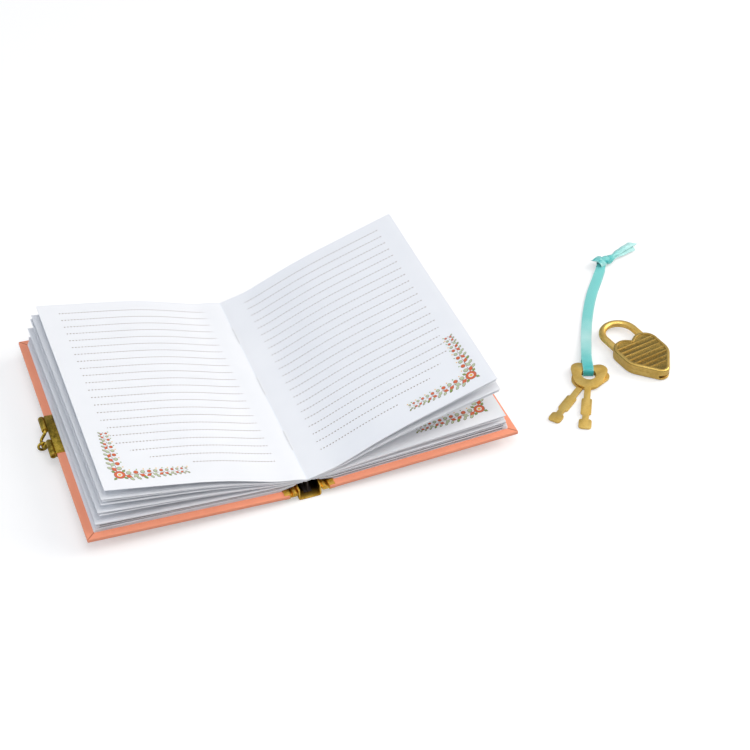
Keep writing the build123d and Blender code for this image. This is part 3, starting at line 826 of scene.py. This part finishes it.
# %% Page block sheets
BUNDLE_STARTS, BLOCK_T, SHEETS = (0.2, 1.05, 2.08, 2.95), 3.72, 4
SHEET_PITCH, SHEET_T = 0.13, 0.12
FORE_EDGE, BRIGHT_EDGE = 104.8, 2.2
shuffle = random.Random(11)


def make_bundle(side, number):
    """One bundle of sheets, of slightly different lengths, that bends between the spine and its cover."""
    sign = 1 if side == "back" else -1
    sheets = []
    for k in range(SHEETS):
        share = (BUNDLE_STARTS[number - 1] + k * SHEET_PITCH + SHEET_T / 2) / BLOCK_T
        start = 6.2 * (1 - share) ** 0.8 + 1.6
        end = FORE_EDGE - 1.3 * share + shuffle.uniform(-0.35, 0.3)
        tail = -PAGE_H / 2 + shuffle.uniform(-0.15, 0.3)
        head = PAGE_H / 2 - shuffle.uniform(-0.15, 0.3)
        spread = 1.5 * share * share + shuffle.uniform(0, 0.1)
        lean = shuffle.uniform(-0.12, 0.12)
        bpy.ops.object.select_all(action="DESELECT")
        bpy.ops.mesh.primitive_grid_add(x_subdivisions=64, y_subdivisions=4, size=2)
        sheet = bpy.context.object
        for corner in sheet.data.vertices:
            u, v = (corner.co.x + 1) / 2, (corner.co.y + 1) / 2
            x = start + (end - start) * u**1.4
            z = block_floor(x) * (1 - share) + block_ceiling(x) * share
            z += (spread + lean * (v - 0.5)) * max(0.0, (x - 25) / 80) ** 2
            corner.co = Vector((sign * x, tail + (head - tail) * v, z)) * MM
        if sign < 0:
            sheet.data.flip_normals()
        sheet.data.materials.append(plain_paper)
        sheet.data.materials.append(gap_shade_paper)
        # The faces beside a gap take the paper with painted shade, apart from a strip along the fore-edge.
        beside_gap = k == 0 or (k == SHEETS - 1 and number < len(BUNDLE_STARTS))
        for face in sheet.data.polygons:
            face.material_index = int(beside_gap and abs(face.center.x) < (FORE_EDGE - BRIGHT_EDGE) * MM)
        sheets.append(sheet)
    bundle = join(sheets, f"{side}_signature_{number}_sheets")
    smooth(add_thickness(bundle, SHEET_T, rim=-1), 50)
    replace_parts(bundle, f"{side}_signature_{number}")
    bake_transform(bundle)
    return bundle


for side in ("front", "back"):
    bundles = [make_bundle(side, number) for number in (1, 2, 3, 4)]
    print(side, "bundles", [len(b.data.polygons) for b in bundles])

# %% [markdown]
# ## Covers
#
# A board is wrapped in coral book cloth, whose edges are turned in and folded to a mitre at each corner.
# A block with soft edges gives the wrapped board. The grain and the mitre's fold line are in the finish,
# since the fold is thinner than a sheet of paper.

# %% Coral cloth
COVER_HALF_H, COVER_FORE_X, TURN_IN = 78.0, 108.9, 12.0
coral, tree, shader = finish("coral_book_cloth")
x, y, _ = axes_of(tree)
grain = noise(tree, 1900.0, 4.0, 0.6)
fade = noise(tree, 30.0, 2.0)
hue = ramp(tree, fade, [(0.3, (0.90, 0.32, 0.185)), (0.7, (0.96, 0.36, 0.215))])
far_x, far_y = reckon(tree, "ABSOLUTE", x), reckon(tree, "ABSOLUTE", y)
corner_step = (COVER_FORE_X - COVER_HALF_H) * MM
past_corner = reckon(tree, "SUBTRACT", reckon(tree, "SUBTRACT", far_x, far_y), corner_step)
diagonal = reckon(tree, "ABSOLUTE", past_corner)
in_corner = reckon(tree, "GREATER_THAN", far_y, (COVER_HALF_H - TURN_IN) * MM)
normal = put(tree, "NewGeometry").outputs["Normal"]
facing_up = reckon(tree, "GREATER_THAN", put(tree, "SeparateXYZ", {"Vector": normal}).outputs["Z"], 0.7)
mitre = times(tree, range_of(tree, diagonal, 0.0002, 0.00055, 1.0, 0.0), in_corner, facing_up)
height = reckon(tree, "SUBTRACT", times(tree, grain, 0.25), mitre)
matt = {
    "Base Color": mix_of(tree, times(tree, mitre, 0.8), hue, (0.40, 0.10, 0.045, 1)),
    "Normal": bump(tree, height, 0.00012, 0.6),
    "Roughness": 0.62,
    "Specular IOR Level": 0.35,
    "Sheen Weight": 0.05,
}
feed(tree, shader, matt)
print("coral cloth ready")

# %% Covers
COVER_LOW, COVER_HIGH = Vector((2.9, -COVER_HALF_H, -1.4)), Vector((101.65, COVER_HALF_H, 0.6))
to_hinge = Matrix.Translation(Vector((HINGE_X, 0, HINGE_Z)) * MM)
open_lean = to_hinge @ Matrix.Rotation(math.radians(-OPEN_DEGREES), 4, "Y")
mirror_x = Matrix.Scale(-1, 4, (1, 0, 0))


def place_on_cover(piece, side):
    """From the cover's own frame, with the hinge at its origin, to the open book."""
    piece.data.transform(open_lean)
    if side == "front":
        piece.data.transform(mirror_x)
        piece.data.flip_normals()
    return piece


def make_cover(side):
    """A wrapped board: a block whose edges are rounded, apart from those inside the hinge strip."""
    bpy.ops.object.select_all(action="DESELECT")
    bpy.ops.mesh.primitive_cube_add(size=1)
    cover = bpy.context.object
    cover.name = side + "_cover_cloth"
    for corner in cover.data.vertices:
        share = corner.co + Vector((0.5, 0.5, 0.5))
        corner.co = Vector([a + (b - a) * s for a, b, s in zip(COVER_LOW, COVER_HIGH, share)]) * MM
    bpy.ops.object.mode_set(mode="EDIT")
    bpy.ops.mesh.select_all(action="DESELECT")
    bpy.ops.object.mode_set(mode="OBJECT")
    for edge in cover.data.edges:
        middle = sum((cover.data.vertices[i].co for i in edge.vertices), Vector()) / 2
        edge.select = middle.x > 4 * MM
    bpy.ops.object.mode_set(mode="EDIT")
    bpy.ops.mesh.select_mode(type="EDGE")
    bpy.ops.mesh.bevel(offset=0.5 * MM, segments=4, profile=0.5)
    bpy.ops.object.mode_set(mode="OBJECT")
    smooth(place_on_cover(cover, side), 35)
    cover.data.materials.append(coral)
    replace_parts(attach(cover, side + "_cover"), f"{side}_cover_wrap", f"{side}_cover_board")
    return cover


def coat(piece, material):
    """Gives a piece this finish alone."""
    piece.data.materials.clear()
    piece.data.materials.append(material)


for side in ("front", "back"):
    print(make_cover(side).name)
    coat(nodes[side + "_endpaper"], plain_paper)

# %% [markdown]
# ## Brass
#
# The metal is thin brass sheet with an antique finish: it is darkened all over and rubbed bright again, so
# it stays mottled. The padlock and keys are cleaner and more golden, and the padlock's sunk field keeps the
# dark colour while its rim and ribs are rubbed bright.

# %% Antique brass
def brass_finish(name, dark, middle, bright, cloudy, rough):
    """A mottled metal, duller where it is dark: (material, tree, shader, colour)."""
    made, tree, shader = finish(name)
    clouds = times(tree, noise(tree, cloudy, 6.0, 0.65), 0.75)
    mottle = reckon(tree, "ADD", clouds, times(tree, noise(tree, cloudy * 6, 3.0), 0.25))
    colour = ramp(tree, mottle, [(0.36, dark), (0.5, middle), (0.66, bright)])
    rubbed = {
        "Base Color": colour,
        "Metallic": 1.0,
        "Roughness": range_of(tree, mottle, 0.35, 0.65, rough + 0.14, rough),
        "Normal": bump(tree, noise(tree, 1800.0, 3.0), 0.00002, 0.5),
    }
    feed(tree, shader, rubbed)
    return made, tree, shader, colour


antique_brass = brass_finish(
    "antique_brass", (0.13, 0.085, 0.01), (0.52, 0.35, 0.045), (0.88, 0.63, 0.13), 260.0, 0.27
)[0]
golden_brass = brass_finish(
    "golden_brass", (0.78, 0.52, 0.13), (0.90, 0.62, 0.18), (0.98, 0.72, 0.24), 120.0, 0.4
)[0]
drawn_steel = brass_finish(
    "drawn_steel", (0.35, 0.34, 0.32), (0.5, 0.49, 0.47), (0.6, 0.59, 0.57), 160.0, 0.3
)[0]
print("plain metals ready")

# %% Channel brass
CHANNEL_INNER, CHANNEL_FLOOR = 5.1 * MM, 0.5 * MM
INNER_SHADE_FROM, INNER_SHADE_FULL = 77.5 * MM, 72.0 * MM
channel_brass, tree, shader, colour = brass_finish(
    "channel_brass", (0.45, 0.25, 0.03), (0.82, 0.49, 0.075), (0.98, 0.69, 0.165), 200.0, 0.25
)
across, along, tall = axes_of(tree)
# Painted shade: inside the channel, between its walls and above its floor, the brass is darkened almost to
# black, fading out towards the open ends.
between_walls = reckon(tree, "LESS_THAN", reckon(tree, "ABSOLUTE", across), CHANNEL_INNER)
above_floor = reckon(tree, "GREATER_THAN", tall, CHANNEL_FLOOR)
in_shade = range_of(tree, reckon(tree, "ABSOLUTE", along), INNER_SHADE_FROM, INNER_SHADE_FULL)
channel_shade = times(tree, between_walls, above_floor, in_shade, 0.93)
feed(tree, shader, {"Base Color": mix_of(tree, channel_shade, colour, (0.035, 0.016, 0.006, 1))})
print("channel brass ready")

# %% Lock brass
FIELD_FROM, FIELD_FULL = 5.9 * MM, 6.0 * MM
RIM_FROM, RIM_FULL = 6.13 * MM, 6.36 * MM
lock_brass, tree, shader, colour = brass_finish(
    "lock_brass", (0.66, 0.44, 0.11), (0.79, 0.54, 0.155), (0.90, 0.65, 0.21), 120.0, 0.36
)
place = put(tree, "TexCoord").outputs["Object"]
tall = axes_of(tree)[2]
below_rim = range_of(tree, tall, RIM_FROM, RIM_FULL, 1.0, 0.0)
field = times(tree, below_rim, range_of(tree, tall, FIELD_FROM, FIELD_FULL))
grains = put(tree, "TexVoronoi", {"Vector": place, "Scale": 1500.0}).outputs["Distance"]
tarnish = ramp(tree, grains, [(0.15, (0.60, 0.41, 0.115)), (0.55, (0.32, 0.21, 0.05))])
scuffs = bump(tree, noise(tree, 1800.0), 0.00002, 0.5)
aged = {
    "Base Color": mix_of(tree, times(tree, field, 0.9), colour, tarnish),
    "Normal": bump(tree, times(tree, grains, field), 0.00012, 0.7, scuffs),
}
feed(tree, shader, aged)
print("lock brass ready")

# %% [markdown]
# Sheet metal never has a razor edge, and the bright line along a rounded edge is what makes it look like
# metal. Each brass solid is copied, its facets are merged into clean faces, and a small bevel rounds it.

# %% Rounded metal pieces
SHARP_DEGREES, FLAT_DEGREES = 38, 0.6


def soften(node, width, material, segments=2):
    """A copy of a solid with rounded edges, which takes the solid's place."""
    source = nodes[node]
    piece = bpy.data.objects.new(node + "_metal", source.data.copy())
    bpy.context.scene.collection.objects.link(piece)
    pick(piece)
    bpy.ops.object.mode_set(mode="EDIT")
    bpy.ops.mesh.select_all(action="SELECT")
    bpy.ops.mesh.remove_doubles(threshold=1e-6)
    bpy.ops.mesh.dissolve_limited(angle_limit=math.radians(FLAT_DEGREES))
    bpy.ops.object.mode_set(mode="OBJECT")
    edge = piece.modifiers.new("edge", "BEVEL")
    edge.width = width * MM
    edge.segments = segments
    edge.limit_method = "ANGLE"
    edge.angle_limit = math.radians(SHARP_DEGREES)
    bpy.ops.object.modifier_apply(modifier="edge")
    smooth(piece, SHARP_DEGREES)
    coat(piece, material)
    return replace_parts(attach(piece, source["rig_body"]), node)


metal = {}
for node in ("spine_channel", "front_hinge_strip", "back_hinge_strip"):
    metal[node] = soften(node, 0.1, channel_brass)
for node in ("front_clasp_plate", "back_clasp_plate"):
    metal[node] = soften(node, 0.1, antique_brass)
for node in ("front_clasp_bail", "back_clasp_bail", "clasp_ring"):
    metal[node] = soften(node, 0.08, antique_brass)
for node in ("front_key", "rear_key"):
    metal[node] = soften(node, 0.22, golden_brass, segments=3)
for node in ("padlock_back", "padlock_front"):
    metal[node] = soften(node, 0.12, lock_brass)
metal["padlock_shackle"] = soften("padlock_shackle", 0.2, golden_brass)
print("rounded", {n: len(p.data.polygons) for n, p in metal.items()})

# %% [markdown]
# Three white stitches hold the leaves in the fold. Each is a bent tube of thread whose ends dip into the
# holes. The cloth guard behind them is pasted white at the top, and painted near black as shade in the
# channel.

# %% Stitches
STITCH_BENDS = [(-7.6, 8.72), (-6.6, 9.08), (0.0, 9.14), (6.6, 9.08), (7.6, 8.72)]
STITCH_PITCH, THREAD_R = 44, 0.2


def make_stitch(middle):
    """One stitch along the fold."""
    stitch = soft_curve("stitch", [Vector((0, middle + y, z)) * MM for y, z in STITCH_BENDS])
    stitch.data.bevel_depth = THREAD_R * MM
    stitch.data.bevel_resolution = 3
    pick(stitch)
    bpy.ops.object.convert(target="MESH")
    return stitch


waxed_thread, tree, shader = finish("waxed_thread")
place = put(tree, "TexCoord").outputs["Object"]
strand = put(tree, "TexWave", {"Vector": place, "Scale": 900.0}, bands_direction="DIAGONAL").outputs["Fac"]
waxed = {
    "Base Color": ramp(tree, strand, [(0.0, 0.78), (1.0, 0.93)]),
    "Normal": bump(tree, strand, 0.00005, 0.6),
    "Roughness": 0.6,
}
feed(tree, shader, waxed)
stitches = join([make_stitch(y) for y in (-STITCH_PITCH, 0, STITCH_PITCH)], "sewing_thread_stitches")
smooth(stitches, 60).data.materials.append(waxed_thread)
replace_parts(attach(stitches, "spine"), "sewing_thread")
print("stitches", len(stitches.data.polygons), "faces")

# %% Guard cloth
guard_with_painted_shade, tree, shader = finish("guard_cloth_painted_shade_below")
# Painted shade: below about 8 mm, down in the channel, the guard is near black; above 8.6 mm it is white
# paste.
ragged_height = reckon(tree, "MULTIPLY_ADD", noise(tree, 700.0), 0.0004, axes_of(tree)[2])
shade_to_paste = [(0.80, (0.04, 0.028, 0.024)), (0.86, (0.85, 0.88, 0.93))]
feed(tree, shader, {"Base Color": ramp(tree, times(tree, ragged_height, 100.0), shade_to_paste), "Roughness": 0.85})
print("guard cloth ready")

# %% Small pieces that keep their solids
keep = {
    "front_hinge_pin": channel_brass,
    "back_hinge_pin": channel_brass,
    "padlock_rivets": golden_brass,
    "padlock_stop_pin": drawn_steel,
    "padlock_catch": drawn_steel,
    "padlock_spring": drawn_steel,
    "spine_guard": guard_with_painted_shade,
}
for node, material in keep.items():
    coat(nodes[node], material)
print("kept", len(keep), "solids")
